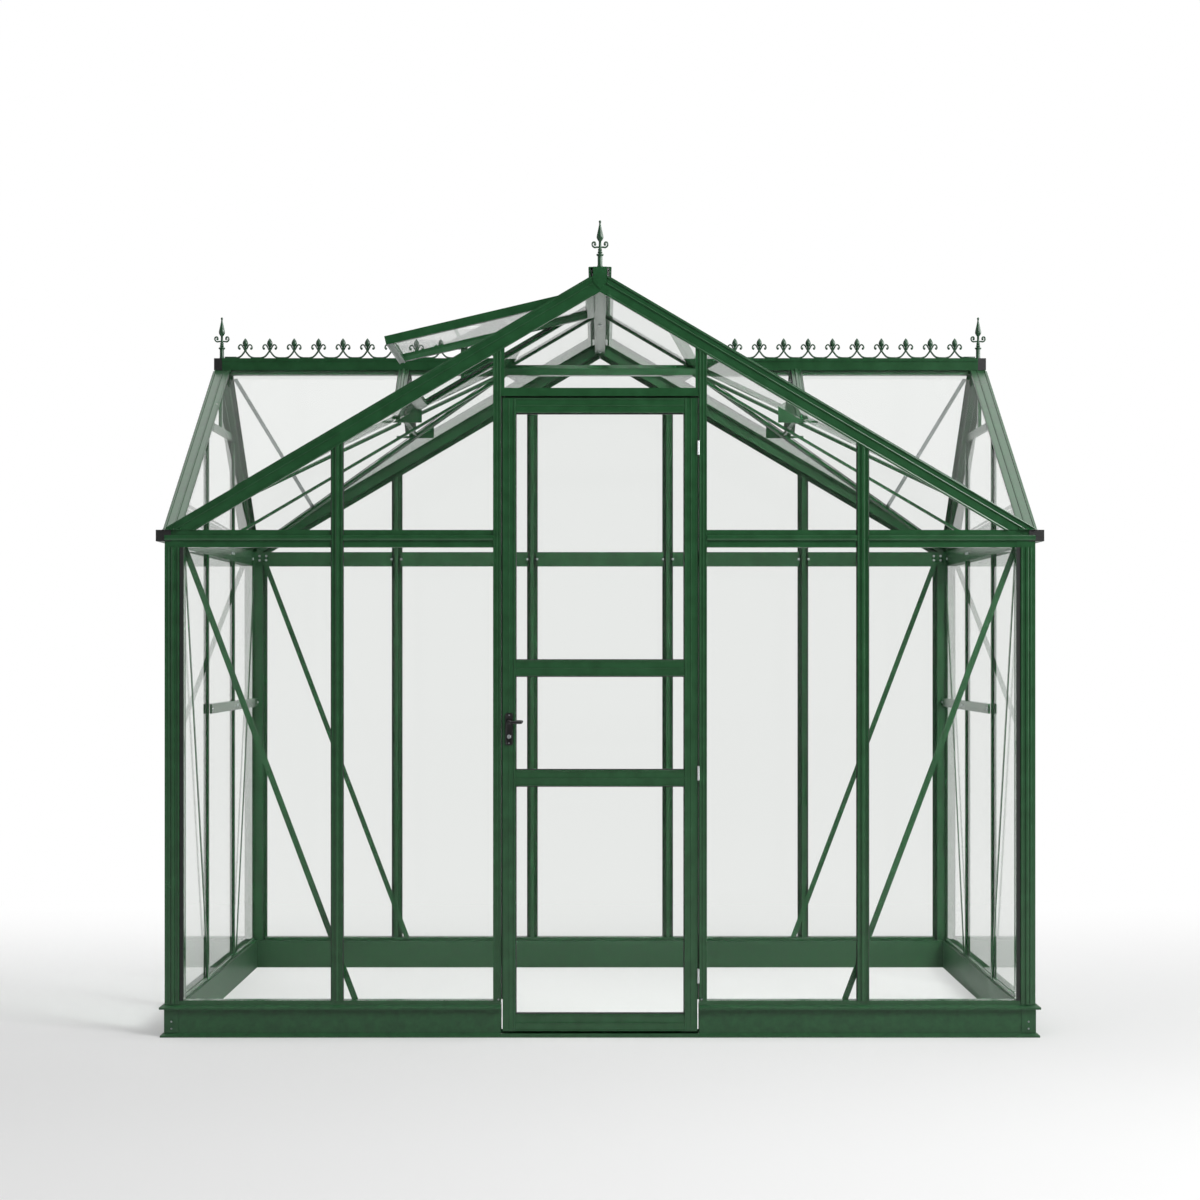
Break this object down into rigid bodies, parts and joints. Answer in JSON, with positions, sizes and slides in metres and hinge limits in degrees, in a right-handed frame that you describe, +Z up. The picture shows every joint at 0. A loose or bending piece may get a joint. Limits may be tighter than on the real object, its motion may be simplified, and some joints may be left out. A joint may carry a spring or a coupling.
{
  "type": "glass greenhouse",
  "caption": "Glazed greenhouse with crossing gable roofs, green metal bars on a low steel base, a hinged glazed door, gutters, an open roof vent, ridge cresting and finials.",
  "frame": {"origin": "on the ground at the middle of the plan", "axes": "+X to the right seen from the door, +Y from the door towards the back, +Z up"},
  "size_m": [3.264, 1.987, 3.003],
  "materials": {
    "green_frame": "moss green powder coat on extruded aluminium",
    "green_base": "moss green powder coat on folded steel",
    "green_castings": "moss green paint on cast aluminium",
    "glass": "clear horticultural glass",
    "black_plastic": "black moulded plastic",
    "black_metal": "satin black paint",
    "bare_metal": "bare mill aluminium"
  },
  "bodies": {
    "frame": {"apex_plates": "green_frame", "back_eave": "green_frame", "back_glass": "glass", "back_posts": "green_frame", "back_rafters": "green_frame", "base_back": "green_base", "base_corner_plates": "green_base", "base_front": "green_base", "base_sides": "green_base", "corner_posts": "green_frame", "cross_roof_glass": "glass", "door_posts": "green_frame", "door_threshold": "green_base", "door_transom": "green_frame", "finials": "green_castings", "front_eave": "green_frame", "front_glass": "glass", "front_posts": "green_frame", "front_rafters": "green_frame", "gussets": "green_frame", "gutter_end_caps": "black_plastic", "gutters": "green_frame", "jack_rafters": "green_frame", "left_cresting": "green_castings", "low_roof_bars": "green_frame", "main_ridge": "green_frame", "main_roof_glass": "glass", "post_hinge_halves": "bare_metal", "purlins": "green_frame", "ridge_caps": "green_frame", "right_cresting": "green_castings", "roof_bars": "green_frame", "side_eaves": "green_frame", "side_gable_bars": "green_frame", "side_glass": "glass", "side_mid_rails": "green_frame", "side_posts": "green_frame", "side_rafters": "green_frame", "side_ridge": "green_frame", "side_ridge_ends": "black_plastic", "sills": "green_frame", "valley_bars": "green_frame", "vent_frame": "green_frame", "vent_glass": "glass", "vent_sill": "green_frame", "vent_stay": "green_frame", "wall_braces": "green_frame"},
    "door": {"door_glass": "glass", "door_rails": "green_frame", "door_stiles": "green_frame", "handle_plates": "black_metal", "leaf_hinge_halves": "bare_metal"},
    "lever": {"door_levers": "black_metal"}
  },
  "joints": [
    {"name": "door_hinge", "type": "hinge", "parent": "frame", "child": "door", "pos_m": [0.361, -0.973, 1], "axis": [0, 0, 1], "range_deg": [0, 100]},
    {"name": "lever_turn", "type": "hinge", "parent": "door", "child": "lever", "pos_m": [-0.334, -0.952, 1.157], "axis": [0, 1, 0], "range_deg": [0, 40], "stiffness_Nm_per_rad": 0.5, "springref_deg": -17.19}
  ]
}
